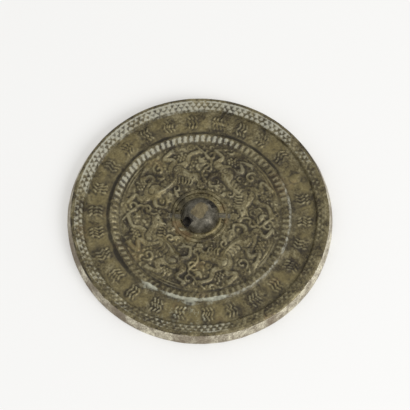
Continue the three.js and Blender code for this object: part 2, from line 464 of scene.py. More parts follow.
@dataclass(frozen=True)
class Beast:
    """One running beast in low relief, with its mane, ribs, toes and brush of a tail."""

    lane: Lane
    gait: Gait
    body: Limb = Limb(
        ((-9.5, 0), (-4, -2.6), (2, -2.4), (7.5, 0.6)), (7, 6, 6.4, 7), (1.3, 1.2, 1.2, 1.3)
    )
    neck: Limb = Limb(((8, 0), (11, -2.8), (13.5, -4.6)), (6, 5, 3.6), (1.35, 1.4, 1.4))
    far_hind: Limb = Limb(((-11, 1), (-15, 3.4), (-13.6, 7.4), (-17, 10)), (5.6, 3.2, 2.2, 2.4))
    near_hind: Limb = Limb(((-7.5, 2.4), (-4, 5.8), (-6.6, 9), (-3, 11)), (5, 3.2, 2.2, 2.6))
    far_fore: Limb = Limb(((8.6, 2), (12.6, 3.6), (14.4, 7.4), (18, 9)), (5, 3, 2.2, 2.4))
    near_fore: Limb = Limb(((5.6, 3), (7.6, 6.4), (4.6, 9.2), (8, 11.2)), (4.6, 3, 2.2, 2.6))
    tail: Limb = Limb(((-12, -1.6), (-16, -4), (-15.4, -8.6), (-11.4, -8.4)), (2.8, 2.4, 2, 1.4))
    haunch: tuple[float, ...] = (-9, 0.4, 5.4, 4.8, 1.75)
    shoulder: tuple[float, ...] = (7, 0.8, 4.6, 4.4, 1.65)
    head: tuple[float, ...] = (14.4, -5, 3.8, 3, 1.7)

    def carve(self, sheet: ReliefSheet, rng: np.random.Generator) -> None:
        """Raises the beast on a sheet, main forms first and then the fine lines."""
        legs = (self.far_hind, self.far_fore, self.near_hind, self.near_fore)
        for limb in (*legs, self.tail):
            sheet.raise_line(self.lane.line(limb.points), limb.widths, limb.heights)
        for limb in (self.body, self.neck):
            sheet.raise_line(self.lane.line(limb.points), limb.widths, limb.heights, fall=0.8)
        for s, t, rx, ry, height in (self.haunch, self.shoulder, self.head):
            x, y = self.lane.place(s, t)
            sheet.press(x, y, rx, ry, height, self.lane.heading(s), fall=0.75)
        self.carve_feet(sheet, legs)
        self.carve_ribs(sheet)
        self.carve_fur(sheet, rng)
        self.carve_mane(sheet)
        self.carve_face(sheet)

    def carve_feet(self, sheet: ReliefSheet, legs: Sequence[Limb]) -> None:
        """Three toes at the end of each leg."""
        for limb in legs:
            s, t = limb.points[-1]
            for toe in (-1, 0, 1):
                x, y = self.lane.place(s + 0.8, t + toe * 0.85)
                sheet.press(x, y, 1.0, 0.55, limb.heights[-1] * 0.9, self.lane.heading(s))

    def carve_mane(self, sheet: ReliefSheet) -> None:
        """Locks that stream back from the neck, and a brush at the tip of the tail."""
        for i in range(self.gait.locks):
            s, t = 13.2 - i * 1.75, -6.4 + i * 0.8
            lock = [(s, t), (s - 1.2, t - 1.9), (s - 3.2, t - 2.2 - 0.3 * (i % 2))]
            sheet.raise_line(self.lane.line(lock), [1.6, 1.3, 0.7], [1.5, 1.2, 0.8])
        s, t = self.tail.points[-1]
        for i in (-1, 0, 1):
            lock = [(s, t), (s + 1.8, t + i * 1.1), (s + 3.6, t + i * 1.7)]
            sheet.raise_line(self.lane.line(lock), [1.4, 1.3, 0.6], [1.0, 0.9, 0.6])

    def carve_ribs(self, sheet: ReliefSheet) -> None:
        """A raised spine, grooves over the flank, and the curl of muscle on haunch and shoulder."""
        spine = [(s, t - 1.3) for s, t in self.body.points]
        sheet.raise_line(self.lane.line(spine), [1.1, 1.7, 1.1], [1.6, 1.55, 1.6])
        for i in range(5):
            s = -4.6 + i * 2.1
            sheet.cut_line(self.lane.line([(s + 0.9, -3.2), (s, -1.2), (s + 0.9, 1.4)]), 0.95, 0.6)
        for s, t, rx, _, _ in (self.haunch, self.shoulder):
            curl = []
            for k in range(7):
                reach = rx * (0.8 - 0.1 * k), rx * (0.7 - 0.1 * k)
                curl.append((s + reach[0] * math.cos(0.8 * k), t + reach[1] * math.sin(0.8 * k)))
            sheet.cut_line(self.lane.line(curl), 0.95, 0.6)

    def carve_fur(self, sheet: ReliefSheet, rng: np.random.Generator) -> None:
        """Short cuts behind each thigh and below the neck."""
        for limb in (self.near_hind, self.far_hind, self.near_fore, self.neck):
            (s, t), (s2, t2) = limb.points[0], limb.points[1]
            for i in range(4):
                u = 0.1 + 0.25 * i
                a, b = s + (s2 - s) * u, t + (t2 - t) * u
                tuft = [(a - 1.5, b + 0.5), (a, b - rng.uniform(0.2, 0.7))]
                sheet.cut_line(self.lane.line(tuft), 0.6, 0.35)

    def carve_face(self, sheet: ReliefSheet) -> None:
        """Muzzle, ear, eye and the open jaw."""
        s, t, *_ = self.head
        f = self.gait.facing
        muzzle = [(s + 1.5 * f, t - 0.6), (s + 4 * f, t - 0.6)]
        jaw = [(s + 1.2 * f, t + 1.6), (s + 3.6 * f, t + 2.2)]
        ear = [(s - 1.6 * f, t - 1.4), (s - 3 * f, t - 3.4)]
        sheet.raise_line(self.lane.line(muzzle), [2.6, 1.8], [1.6, 1.3])
        sheet.raise_line(self.lane.line(jaw), [1.8, 1.1], [1.3, 0.9])
        sheet.raise_line(self.lane.line(ear), [1.9, 0.8], [1.7, 1.0])
        x, y = self.lane.place(s + 0.8 * f, t - 0.4)
        sheet.press(x, y, 0.75, 0.75, -0.7)


def spiral(at: Point, radius: float, hand: int, start: float, turns: float) -> list[Point]:
    """Points of a spiral from its outer end in to its eye."""
    steps = 9
    line = []
    for i in range(steps + 1):
        u = i / steps
        reach = radius * (1 - 0.78 * u)
        angle = start + hand * u * turns * TAU
        line.append((at[0] + reach * math.cos(angle), at[1] + reach * math.sin(angle)))
    return line


@dataclass(frozen=True)
class Vine:
    """The vine between one beast's head and the next one's tail: stem, curls, leaves and fruit."""

    lane: Lane
    curls: tuple[tuple[float, float, float, int], ...] = (
        (20.6, -6.6, 2.6, 1),
        (21.8, 0, 2.9, -1),
        (22.6, 7.6, 3.1, 1),
        (0.6, -7.2, 2.3, -1),
        (0.6, 6.4, 3, 1),
    )
    leaves: tuple[tuple[float, float, float], ...] = ((18.4, 3.6, 0.9), (-1.2, -10.2, 2.5), (24.8, 3.8, -0.6))
    fruit: tuple[Point, ...] = ((18.6, -9.6), (-9, 7.4), (11.4, 6.9))

    def carve(self, sheet: ReliefSheet) -> None:
        """Raises the vine on a sheet."""
        stem = [(17, 12), (20, 8), (23.4, 3.4), (19.6, -2.6), (22.4, -9)]
        sheet.raise_line(self.lane.line(stem), [1.2, 1.5, 1.1], [0.95, 1.05, 0.85])
        for s, t, radius, hand in self.curls:
            line = spiral(self.lane.place(s, t), radius, hand, self.lane.turn, 1.0)
            sheet.raise_line(line, [1.0, 1.5, 1.3], [0.8, 1.05, 1.0])
        for s, t, turn in self.leaves:
            self.carve_leaf(sheet, s, t, turn)
        for s, t in self.fruit:
            self.carve_fruit(sheet, s, t)

    def carve_leaf(self, sheet: ReliefSheet, s: float, t: float, turn: float) -> None:
        """Leaf of three lobes with a cut vein in each."""
        for lobe in (-0.8, 0.0, 0.8):
            tip = (s + 2.6 * math.cos(turn + lobe), t + 2.6 * math.sin(turn + lobe))
            sheet.raise_line(self.lane.line([(s, t), tip]), [1.3, 1.9, 0.8], [0.9, 1.1, 0.7])
            sheet.cut_line(self.lane.line([(s, t), tip]), 0.5, 0.3)

    def carve_fruit(self, sheet: ReliefSheet, s: float, t: float) -> None:
        """Bunch of small round fruit."""
        for row, count in enumerate((3, 4, 3, 1)):
            for i in range(count):
                x, y = self.lane.place(s + (i - (count - 1) / 2) * 1.35, t + (row - 1.2) * 1.2)
                sheet.press(x, y, 0.8, 0.8, 1.05)


class Mark(Enum):
    """Small forms that fill the ground: name, tries, least and greatest size, and width."""

    LEAF = ("leaf", 500, 2.2, 3.2, 1.8)
    CURL = ("curl", 500, 1.6, 2.2, 1.05)
    COMMA = ("comma", 1500, 1.3, 2.2, 1.15)
    TWIG = ("twig", 1800, 0.8, 1.5, 0.95)
    GRAIN = ("grain", 1600, 0.35, 0.6, 1.0)


@dataclass(frozen=True)
class Field:
    """The relief field: four beasts that run round the knob, and the vines between them."""

    section: Section = Section()
    beasts: int = 4
    first_turn: float = 4.0
    lane_r: float = 26.0
    fill_inner: float = 15.4
    fill_outer: float = 39.2

    def carve(self, sheet: ReliefSheet, rng: np.random.Generator) -> None:
        """Raises the beasts, the vines between them and the small forms that fill the ground."""
        first = math.radians(self.first_turn)
        lanes = [Lane(first + i / self.beasts * TAU, self.lane_r) for i in range(self.beasts)]
        for lane in lanes:
            Vine(lane).carve(sheet)
        for lane, gait in zip(lanes, Gait):
            Beast(lane, gait).carve(sheet, rng)
        self.carve_border(sheet)
        for mark in Mark:
            self.fill(sheet, rng, mark)

    def carve_border(self, sheet: ReliefSheet) -> None:
        """Pairs of thin stems that follow the foot of the ridge."""
        for first, last in ((192, 226), (300, 346), (20, 44), (96, 128)):
            for r in (37.6, 39.0):
                angles = np.radians(VIEW_AZIMUTH - np.linspace(first, last, 9))
                line = [(r * math.cos(a), r * math.sin(a)) for a in angles]
                if sheet.is_bare(line[3:6], 0.3):
                    sheet.raise_line(line, [0.5, 0.85, 0.5], [0.5, 0.8, 0.5])

    def fill(self, sheet: ReliefSheet, rng: np.random.Generator, mark: Mark) -> None:
        """Sets one kind of small form wherever the ground is still bare.

        Args:
            sheet: The sheet that takes the forms.
            rng: Source of their places, sizes and turns.
            mark: The kind of form.
        """
        _, tries, small, large, width = mark.value
        for _ in range(tries):
            size = rng.uniform(small, large)
            r = math.sqrt(rng.uniform(self.fill_inner**2, self.fill_outer**2))
            angle, start = rng.uniform(0, TAU), rng.uniform(0, TAU)
            at = (r * math.cos(angle), r * math.sin(angle))
            hand = 1 if rng.random() < 0.5 else -1
            turns = 1.0 if mark is Mark.CURL else rng.uniform(0.18, 0.42)
            line = spiral(at, size, hand, start, turns)
            far = max(math.hypot(x, y) for x, y in line)
            if far < self.fill_outer + 0.4 and sheet.is_bare(line, width / 2 + 0.22):
                height = rng.uniform(0.6, 1.0)
                widths = [width * 0.6, width, width * 0.7]
                sheet.raise_line(line, widths, [height * 0.7, height, height * 0.8])


# ---- Knob --------------------------------------------------------------------------------


@dataclass(frozen=True)
class Knob:
    """Domed knob with its collar and ring, and the cord hole that runs through it."""

    section: Section = Section()
    columns: int = 180
    outer_r: float = 14.5
    sunk_z: float = 1.0
    hole_w: float = 3.9
    hole_h: float = 4.3
    hole_z: float = 7.05  # middle of the hole
    hole_flare: float = 1.12
    hole_sides: int = 40

    def profile(self) -> list[Point]:
        """Section of the closed knob body, from the crown out to the field and back below."""
        s = self.section
        top = math.acos(s.knob_flat_r / s.knob_r)
        crown = [(r, s.knob_top_z - 0.012 * r * r) for r in np.linspace(0, s.knob_flat_r, 6)[:-1]]
        dome = []
        for turn in np.linspace(top, 0, 16):
            rise = math.sin(turn) / math.sin(top)
            z = s.knob_foot_z + (s.knob_top_z - 0.12 - s.knob_foot_z) * rise
            dome.append((s.knob_r * math.cos(turn), z))
        groove = s.field_z + 0.12
        collar = [
            (s.knob_r + 0.12, s.knob_foot_z - 0.25),
            (s.knob_r + 0.4, s.knob_foot_z - 0.05),
            (s.collar_r - 0.45, s.knob_foot_z + 0.02),
            (s.collar_r - 0.1, s.knob_foot_z - 0.15),
            (s.collar_r + 0.25, groove + 0.05),
            (s.collar_r + 0.7, groove),
        ]
        ring = []
        for i in range(7):
            turn = math.pi * i / 6
            r = s.ring_r - math.cos(turn) * (s.ring_w / 2 - 0.1)
            ring.append((r, groove + (s.ring_h - 0.1) * math.sin(turn)))
        return [
            *crown,
            *dome,
            *collar,
            *ring,
            (self.outer_r, s.field_z),
            (self.outer_r, self.sunk_z),
            (0.0, self.sunk_z),
        ]

    def build(self) -> bpy.types.Object:
        """Makes the knob's shell, open below, with the hole cut through it."""
        body = turn_section("knob", self.profile(), self.columns)
        recalculate_normals(body)
        cutter = self.cutter()
        make_active(body)
        cut = body.modifiers.new("cord_hole", "BOOLEAN")
        cut.object = cutter
        cut.operation = "DIFFERENCE"
        cut.solver = "EXACT"
        bpy.ops.object.modifier_apply(modifier=cut.name)
        bpy.data.objects.remove(cutter)
        self.open_below(body)
        make_active(body)
        bpy.ops.object.shade_smooth_by_angle(angle=math.radians(48))
        return body

    def cutter(self) -> bpy.types.Object:
        """Long rounded bar along X, a little wider towards its ends."""
        deselect_all()
        reach = self.section.knob_r + 1
        bpy.ops.mesh.primitive_cylinder_add(
            vertices=self.hole_sides,
            radius=0.5,
            depth=2 * reach * MM,
            rotation=(0, math.pi / 2, 0),
        )
        bar = bpy.context.object
        bpy.ops.object.transform_apply(location=False, rotation=True, scale=True)
        bpy.ops.object.mode_set(mode="EDIT")
        bpy.ops.mesh.select_all(action="SELECT")
        for x in (-5.0, -2.5, 0.0, 2.5, 5.0):
            bpy.ops.mesh.select_all(action="SELECT")
            bpy.ops.mesh.bisect(plane_co=(x * MM, 0, 0), plane_no=(1, 0, 0))
        bpy.ops.object.mode_set(mode="OBJECT")
        co = read_points(bar.data)
        flare = 1 + (self.hole_flare - 1) * (np.abs(co[:, 0]) / (reach * MM)) ** 2
        angle = np.arctan2(co[:, 2], co[:, 1])
        round_off = (np.abs(np.cos(angle)) ** 2.6 + np.abs(np.sin(angle)) ** 2.6) ** (-1 / 2.6)
        centre = np.hypot(co[:, 1], co[:, 2]) < 0.1
        size = np.where(centre, 0, round_off * flare)
        co[:, 1] = size * np.cos(angle) * self.hole_w / 2 * MM
        co[:, 2] = (self.hole_z + size * np.sin(angle) * self.hole_h / 2) * MM
        write_points(bar.data, co)
        return bar

    def open_below(self, body: bpy.types.Object) -> None:
        """Deletes the faces under the field, so that the shell can be bridged to the next."""
        make_active(body)
        limit = (self.section.field_z - 0.05) * MM
        low = [face.center.z < limit for face in body.data.polygons]
        select_only(body, faces=np.array(low))
        bpy.ops.mesh.delete(type="FACE")
        bpy.ops.object.mode_set(mode="OBJECT")


# ---- Mesh helpers ------------------------------------------------------------------------


def read_points(mesh: bpy.types.Mesh) -> Array:
    """Every vertex of a mesh, one row each."""
    co = np.empty(len(mesh.vertices) * 3)
    mesh.vertices.foreach_get("co", co)
    return co.reshape(-1, 3)


def write_points(mesh: bpy.types.Mesh, co: Array) -> None:
    """Moves every vertex of a mesh."""
    mesh.vertices.foreach_set("co", co.ravel())
    mesh.update()


def select_only(
    piece: bpy.types.Object, edges: Array | None = None, faces: Array | None = None
) -> None:
    """Goes to edit mode with some edges or some faces selected, and nothing else."""
    make_active(piece)
    mode = "FACE" if edges is None else "EDGE"
    bpy.ops.object.mode_set(mode="EDIT")
    bpy.ops.mesh.select_mode(type=mode)
    bpy.ops.mesh.select_all(action="DESELECT")
    bpy.ops.object.mode_set(mode="OBJECT")
    if edges is not None:
        piece.data.edges.foreach_set("select", edges)
    if faces is not None:
        piece.data.polygons.foreach_set("select", faces)
    bpy.ops.object.mode_set(mode="EDIT")


def turn_section(name: str, profile: Sequence[Point], columns: int) -> bpy.types.Object:
    """Extrudes a section point by point and spins it round the mirror's axis.

    Args:
        name: Name of the new object.
        profile: Radius and height of each point of the section, in millimetres.
        columns: Steps of the spin.

    Returns:
        The turned shell.
    """
    deselect_all()
    bpy.ops.mesh.primitive_plane_add(size=MM)
    shell = bpy.context.object
    shell.name = name
    bpy.ops.object.mode_set(mode="EDIT")
    bpy.ops.mesh.select_mode(type="VERT")
    bpy.ops.mesh.select_all(action="SELECT")
    bpy.ops.mesh.merge(type="CENTER")
    bpy.ops.transform.translate(value=(profile[0][0] * MM, 0, profile[0][1] * MM))
    for here, there in zip(profile, profile[1:]):
        step = ((there[0] - here[0]) * MM, 0, (there[1] - here[1]) * MM)
        bpy.ops.mesh.extrude_vertices_move(TRANSFORM_OT_translate={"value": step})
    bpy.ops.mesh.select_all(action="SELECT")
    bpy.ops.mesh.spin(
        steps=columns, angle=TAU, center=(0, 0, 0), axis=(0, 0, 1), use_auto_merge=True
    )
    bpy.ops.mesh.select_all(action="SELECT")
    bpy.ops.mesh.remove_doubles(threshold=WELD)
    bpy.ops.object.mode_set(mode="OBJECT")
    return shell


def recalculate_normals(piece: bpy.types.Object) -> None:
    """Turns every face of a closed piece outward."""
    make_active(piece)
    bpy.ops.object.mode_set(mode="EDIT")
    bpy.ops.mesh.select_all(action="SELECT")
    bpy.ops.mesh.normals_make_consistent(inside=False)
    bpy.ops.object.mode_set(mode="OBJECT")


def bridge(piece: bpy.types.Object, first: Point, second: Point) -> None:
    """Joins two open edge loops of a turned piece, each named by its radius and height."""
    co = read_points(piece.data) / MM
    r = np.hypot(co[:, 0], co[:, 1])
    on_loop = np.zeros(len(co), bool)
    for radius, height in (first, second):
        on_loop |= (np.abs(r - radius) < 0.02) & (np.abs(co[:, 2] - height) < 0.02)
    ends = np.empty(len(piece.data.edges) * 2, int)
    piece.data.edges.foreach_get("vertices", ends)
    ends = ends.reshape(-1, 2)
    select_only(piece, edges=on_loop[ends[:, 0]] & on_loop[ends[:, 1]])
    bpy.ops.mesh.bridge_edge_loops()
    bpy.ops.object.mode_set(mode="OBJECT")


def steps_between(start: Point, end: Point, pitch: float) -> list[Point]:
    """Evenly spaced points after start, up to end."""
    length = math.hypot(end[0] - start[0], end[1] - start[1])
    count = max(1, round(length / pitch))
    return [
        (start[0] + (end[0] - start[0]) * i / count, start[1] + (end[1] - start[1]) * i / count)
        for i in range(1, count + 1)
    ]


def stepped(corners: Sequence[Point], pitches: Sequence[float]) -> list[Point]:
    """A section through some corners, with each stretch cut into steps of its own pitch."""
    line = [corners[0]]
    for start, end, pitch in zip(corners, corners[1:], pitches):
        line += steps_between(start, end, pitch)
    return line


# ---- Node helpers ------------------------------------------------------------------------


def tone(red: int, green: int, blue: int) -> tuple[float, float, float, float]:
    """Screen colour from 0 to 255 as a linear colour."""

    def linear(value: int) -> float:
        """One channel."""
        v = value / 255
        return v / 12.92 if v <= 0.04045 else ((v + 0.055) / 1.055) ** 2.4

    return linear(red), linear(green), linear(blue), 1.0


@dataclass
class Bench:
    """Lays nodes in one tree and wires them."""

    tree: bpy.types.NodeTree

    def add(self, kind: str, **settings: object) -> bpy.types.Node:
        """A node of a kind, with its settings."""
        node = self.tree.nodes.new(f"ShaderNode{kind}")
        for name, value in settings.items():
            setattr(node, name, value)
        return node

    def put(self, socket: Socket, value: object) -> None:
        """Wires a socket to another, or sets its value."""
        if isinstance(value, bpy.types.NodeSocket):
            self.tree.links.new(value, socket)
        else:
            socket.default_value = value

    def math(self, operation: str, a: object, b: object = 0.0, clamp: bool = False) -> Socket:
        """Result of a sum on two numbers."""
        node = self.add("Math", operation=operation, use_clamp=clamp)
        self.put(node.inputs[0], a)
        self.put(node.inputs[1], b)
        return node.outputs[0]

    def mix(self, amount: object, low: object, high: object) -> Socket:
        """Colour between two colours."""
        node = self.add("Mix", data_type="RGBA")
        self.put(node.inputs[0], amount)
        self.put(node.inputs[6], low)
        self.put(node.inputs[7], high)
        return node.outputs[2]

    def blend(self, amount: object, low: object, high: object) -> Socket:
        """Number between two numbers."""
        node = self.add("Mix", data_type="FLOAT")
        self.put(node.inputs[0], amount)
        self.put(node.inputs[2], low)
        self.put(node.inputs[3], high)
        return node.outputs[0]

    def noise(self, scale: object, detail: float = 3.0, rough: float = 0.55, warp: float = 0.0) -> Socket:
        """Noise on the piece's own coordinates, from about 0.3 to 0.7."""
        place = self.add("TexCoord").outputs["Object"]
        node = self.add("TexNoise")
        self.put(node.inputs["Vector"], place)
        self.put(node.inputs["Scale"], scale)
        node.inputs["Detail"].default_value = detail
        node.inputs["Roughness"].default_value = rough
        node.inputs["Distortion"].default_value = warp
        return node.outputs["Fac"]

    def step(self, value: object, low: object, high: object) -> Socket:
        """Smooth step from 0 to 1."""
        node = self.add("MapRange", interpolation_type="SMOOTHSTEP")
        self.put(node.inputs["Value"], value)
        self.put(node.inputs["From Min"], low)
        self.put(node.inputs["From Max"], high)
        return node.outputs["Result"]

    def mask(self, name: str) -> Socket:
        """One of the piece's own masks."""
        return self.add("Attribute", attribute_name=name, attribute_type="GEOMETRY").outputs["Fac"]

    def group(self, tree: bpy.types.NodeTree, **values: object) -> bpy.types.Node:
        """A node group with its inputs; underscores in their names stand for spaces."""
        node = self.add("Group")
        node.node_tree = tree
        for name, value in values.items():
            self.put(node.inputs[name.replace("_", " ")], value)
        return node


def new_group(
    name: str, inputs: dict[str, str], outputs: dict[str, str]
) -> tuple[Bench, bpy.types.Node, bpy.types.Node]:
    """An empty shader group with named sockets.

    Args:
        name: Name of the group.
        inputs: Name and kind of each input.
        outputs: Name and kind of each output.

    Returns:
        A bench on its tree, its input node and its output node.
    """
    tree = bpy.data.node_groups.new(name, "ShaderNodeTree")
    for label, kind in inputs.items():
        tree.interface.new_socket(label, in_out="INPUT", socket_type=f"NodeSocket{kind}")
    for label, kind in outputs.items():
        tree.interface.new_socket(label, in_out="OUTPUT", socket_type=f"NodeSocket{kind}")
    source = tree.nodes.new("NodeGroupInput")
    target = tree.nodes.new("NodeGroupOutput")
    return Bench(tree), source, target


def make_grain_group() -> bpy.types.NodeTree:
    """Cast skin: broad lumps, fine grain and small pits, as a height."""
    bench, source, target = new_group(
        "cast_grain", {"Coarse": "Float", "Fine": "Float", "Pits": "Float"}, {"Height": "Float"}
    )
    broad = bench.noise(source.outputs["Coarse"], 4.0, 0.6)
    fine = bench.noise(source.outputs["Fine"], 3.0, 0.65)
    pits = bench.step(bench.noise(source.outputs["Coarse"], 2.0, 0.5, 0.4), 0.36, 0.46)
    height = bench.math("ADD", broad, bench.math("MULTIPLY", fine, 0.55))
    sunk = bench.math("MULTIPLY", bench.math("SUBTRACT", 1.0, pits), source.outputs["Pits"])
    bench.put(target.inputs["Height"], bench.math("SUBTRACT", height, sunk))
    return bench.tree


def make_mottle_group() -> bpy.types.NodeTree:
    """Cloudy tone between three colours, with a fine speckle."""
    bench, source, target = new_group(
        "patina_mottle",
        {"Deep": "Color", "Mid": "Color", "Pale": "Color", "Scale": "Float", "Speckle": "Float"},
        {"Color": "Color"},
    )
    cloud = bench.noise(source.outputs["Scale"], 5.0, 0.62, 0.6)
    speck = bench.noise(bench.math("MULTIPLY", source.outputs["Scale"], 7.0), 2.0, 0.6)
    speck = bench.math("MULTIPLY", bench.math("SUBTRACT", speck, 0.5), source.outputs["Speckle"])
    value = bench.math("ADD", cloud, speck)
    low = bench.mix(bench.step(value, 0.34, 0.52), source.outputs["Deep"], source.outputs["Mid"])
    bench.put(target.inputs["Color"], bench.mix(bench.step(value, 0.5, 0.7), low, source.outputs["Pale"]))
    return bench.tree


def make_patch_group() -> bpy.types.NodeTree:
    """Breaks the edge of a smooth mask into crusty patches."""
    bench, source, target = new_group(
        "broken_patch", {"Mask": "Float", "Scale": "Float", "Ragged": "Float"}, {"Mask": "Float"}
    )
    crumb = bench.noise(source.outputs["Scale"], 5.0, 0.7, 0.3)
    shift = bench.math("MULTIPLY", bench.math("SUBTRACT", crumb, 0.5), source.outputs["Ragged"])
    value = bench.math("ADD", source.outputs["Mask"], shift)
    bench.put(target.inputs["Mask"], bench.step(value, 0.25, 0.75))
    return bench.tree


# ---- Finishes ----------------------------------------------------------------------------

Tone = tuple[float, float, float, float]


@dataclass
class Workshop:
    """The shader groups that the finishes share."""

    grain: bpy.types.NodeTree = field(default_factory=make_grain_group)
    mottle: bpy.types.NodeTree = field(default_factory=make_mottle_group)
    patch: bpy.types.NodeTree = field(default_factory=make_patch_group)

    def start(self, name: str) -> tuple[bpy.types.Material, Bench, bpy.types.Node]:
        """A new material with its bench and its shader."""
        material = bpy.data.materials.new(name)
        material.use_nodes = True
        shader = material.node_tree.nodes["Principled BSDF"]
        return material, Bench(material.node_tree), shader

    def mottled(
        self, bench: Bench, tones: tuple[Tone, Tone, Tone], grain: tuple[float, float]
    ) -> Socket:
        """Cloudy colour between three tones, with a scale and a speckle."""
        deep, mid, pale = tones
        scale, speckle = grain
        node = bench.group(self.mottle, Deep=deep, Mid=mid, Pale=pale, Scale=scale, Speckle=speckle)
        return node.outputs["Color"]

    def roughen(self, bench: Bench, shader: bpy.types.Node, depth: float, **grain: float) -> None:
        """Gives a shader the cast skin, to a depth in millimetres."""
        bump = bench.add("Bump")
        bump.inputs["Strength"].default_value = 1.0
        bump.inputs["Distance"].default_value = depth * MM
        bench.put(bump.inputs["Height"], bench.group(self.grain, **grain).outputs["Height"])
        bench.put(shader.inputs["Normal"], bump.outputs["Normal"])


@dataclass(frozen=True)
class Finish:
    """What every finish shares: its name, three mottled tones, and the skin under them."""

    name: str
    deep: Tone
    mid: Tone
    pale: Tone
    mottle: tuple[float, float]  # scale and speckle
    skin: tuple[float, float, float, float]  # depth in millimetres, coarse, fine and pits

    def material(self, shop: Workshop) -> bpy.types.Material:
        """Builds the finish."""
        material, bench, shader = shop.start(self.name)
        color = shop.mottled(bench, (self.deep, self.mid, self.pale), self.mottle)
        self.weather(shop, bench, shader, color)
        depth, coarse, fine, pits = self.skin
        shop.roughen(bench, shader, depth, Coarse=coarse, Fine=fine, Pits=pits)
        return material

    def weather(self, shop: Workshop, bench: Bench, shader: bpy.types.Node, color: Socket) -> None:
        """Lays wear and dirt over the mottled tone, and sets the shader."""
        bench.put(shader.inputs["Base Color"], color)
        shader.inputs["Metallic"].default_value = 0.0
        shader.inputs["Roughness"].default_value = 0.85


@dataclass(frozen=True)
class AgedBack(Finish):
    """Brown bronze under a thin earthy patina, dark with dirt and painted shade in the hollows, rubbed pale
    with painted highlight on the crests, and with painted highlight and painted shade laid on by bearing.
    """

    name: str = "aged_bronze_back"
    deep: Tone = tone(62, 54, 37)
    mid: Tone = tone(104, 95, 66)
    pale: Tone = tone(142, 133, 102)
    mottle: tuple[float, float] = (150.0, 0.5)
    skin: tuple[float, float, float, float] = (0.12, 520.0, 2100.0, 0.5)
    # dirt with painted shade, in the hollows and the corners
    hollow: Tone = tone(36, 31, 22)
    # rubbed wear with painted highlight, on every raised crest
    crest: Tone = tone(154, 148, 120)
    # pale patina, with painted highlight on the slopes that face the key
    bloom_and_highlight: Tone = tone(176, 175, 160)
    verdigris: Tone = tone(182, 183, 164)
    # olive yellow patina, and a painted highlight on the collar
    ochre_and_highlight: Tone = tone(132, 120, 80)
    rust: Tone = tone(116, 88, 56)
    # painted shade, laid by bearing on the sides that face away from the key
    painted_shade: Tone = tone(44, 40, 32)

    def weather(self, shop: Workshop, bench: Bench, shader: bpy.types.Node, color: Socket) -> None:
        """Lays the patches over the mottled tone: patina, rust, the rubbed crests with painted highlight, the
        pale bloom with painted highlight, the painted shade, and the dirt and painted shade in the hollows.
        """
        patches = {}
        for mask, scale, ragged in (
            ("ochre_and_highlight", 420.0, 0.9),
            ("rust", 380.0, 1.0),
            ("painted_shade", 300.0, 0.5),
            ("bloom_and_highlight", 950.0, 1.5),
            ("verdigris", 720.0, 1.5),
            ("crest", 900.0, 0.7),
        ):
            patch = bench.group(shop.patch, Mask=bench.mask(mask), Scale=scale, Ragged=ragged)
            patches[mask] = patch.outputs["Mask"]
        hollow = bench.mask("hollow")
        for mask, amount, shade in (
            ("ochre_and_highlight", 0.5, self.ochre_and_highlight),
            ("rust", 0.45, self.rust),
            ("painted_shade", 0.85, self.painted_shade),
            ("bloom_and_highlight", 0.8, self.bloom_and_highlight),
            ("crest", 0.45, self.crest),
            ("verdigris", 0.85, self.verdigris),
        ):
            color = bench.mix(bench.math("MULTIPLY", patches[mask], amount), color, shade)
        color = bench.mix(bench.math("MULTIPLY", hollow, 0.88), color, self.hollow)
        bench.put(shader.inputs["Base Color"], color)
        crust = bench.math("MAXIMUM", patches["bloom_and_highlight"], patches["verdigris"])
        crust = bench.math("MAXIMUM", crust, hollow)
        bench.put(shader.inputs["Metallic"], bench.blend(crust, 0.5, 0.05))
        bench.put(shader.inputs["Roughness"], bench.blend(crust, 0.42, 0.78))


@dataclass(frozen=True)
class RubbedKnob(Finish):
    """Dark handled bronze with a soft gloss, worn to a dull brown on the crown."""

    name: str = "rubbed_knob"
    deep: Tone = tone(56, 53, 43)
    mid: Tone = tone(88, 84, 73)
    pale: Tone = tone(122, 117, 104)
    mottle: tuple[float, float] = (260.0, 0.4)
    skin: tuple[float, float, float, float] = (0.08, 420.0, 1500.0, 0.3)
    scuffed: Tone = tone(78, 68, 46)
    worn: Tone = tone(104, 93, 65)
    bright: Tone = tone(130, 118, 86)

    def weather(self, shop: Workshop, bench: Bench, shader: bpy.types.Node, color: Socket) -> None:
        """Wears the crown, from the piece's mask."""
        worn = bench.group(shop.patch, Mask=bench.mask("worn"), Scale=560.0, Ragged=1.7).outputs["Mask"]
        crown = shop.mottled(bench, (self.scuffed, self.worn, self.bright), (520.0, 0.6))
        color = bench.mix(bench.math("MULTIPLY", worn, 0.85), color, crown)
        bench.put(shader.inputs["Base Color"], color)
        bench.put(shader.inputs["Metallic"], bench.blend(worn, 0.55, 0.1))
        bench.put(shader.inputs["Roughness"], bench.blend(worn, 0.36, 0.72))


@dataclass(frozen=True)
class PaintedSheenWall(Finish):
    """Outer wall in pale grey buff tones that are painted reflection of the white floor and the key, with
    brown stain and painted shade in patches.
    """

    name: str = "wall_painted_sheen"
    # pale tones that stand in for the white floor and the key reflected in the wall: painted reflection
    deep: Tone = tone(122, 112, 94)
    mid: Tone = tone(168, 160, 140)
    pale: Tone = tone(216, 210, 186)
    mottle: tuple[float, float] = (190.0, 0.7)
    skin: tuple[float, float, float, float] = (0.1, 430.0, 1900.0, 0.35)
    # brown for stain and painted shade
    stain_and_shade: Tone = tone(112, 99, 82)

    def weather(self, shop: Workshop, bench: Bench, shader: bpy.types.Node, color: Socket) -> None:
        """Lays stain and painted shade on the wall, from the piece's mask."""
        stain_and_shade = bench.group(shop.patch, Mask=bench.mask("stain_and_shade"), Scale=330.0, Ragged=1.0).outputs["Mask"]
        color = bench.mix(bench.math("MULTIPLY", stain_and_shade, 0.75), color, self.stain_and_shade)
        bench.put(shader.inputs["Base Color"], color)
        shader.inputs["Metallic"].default_value = 0.2
        bench.put(shader.inputs["Roughness"], bench.blend(stain_and_shade, 0.42, 0.65))


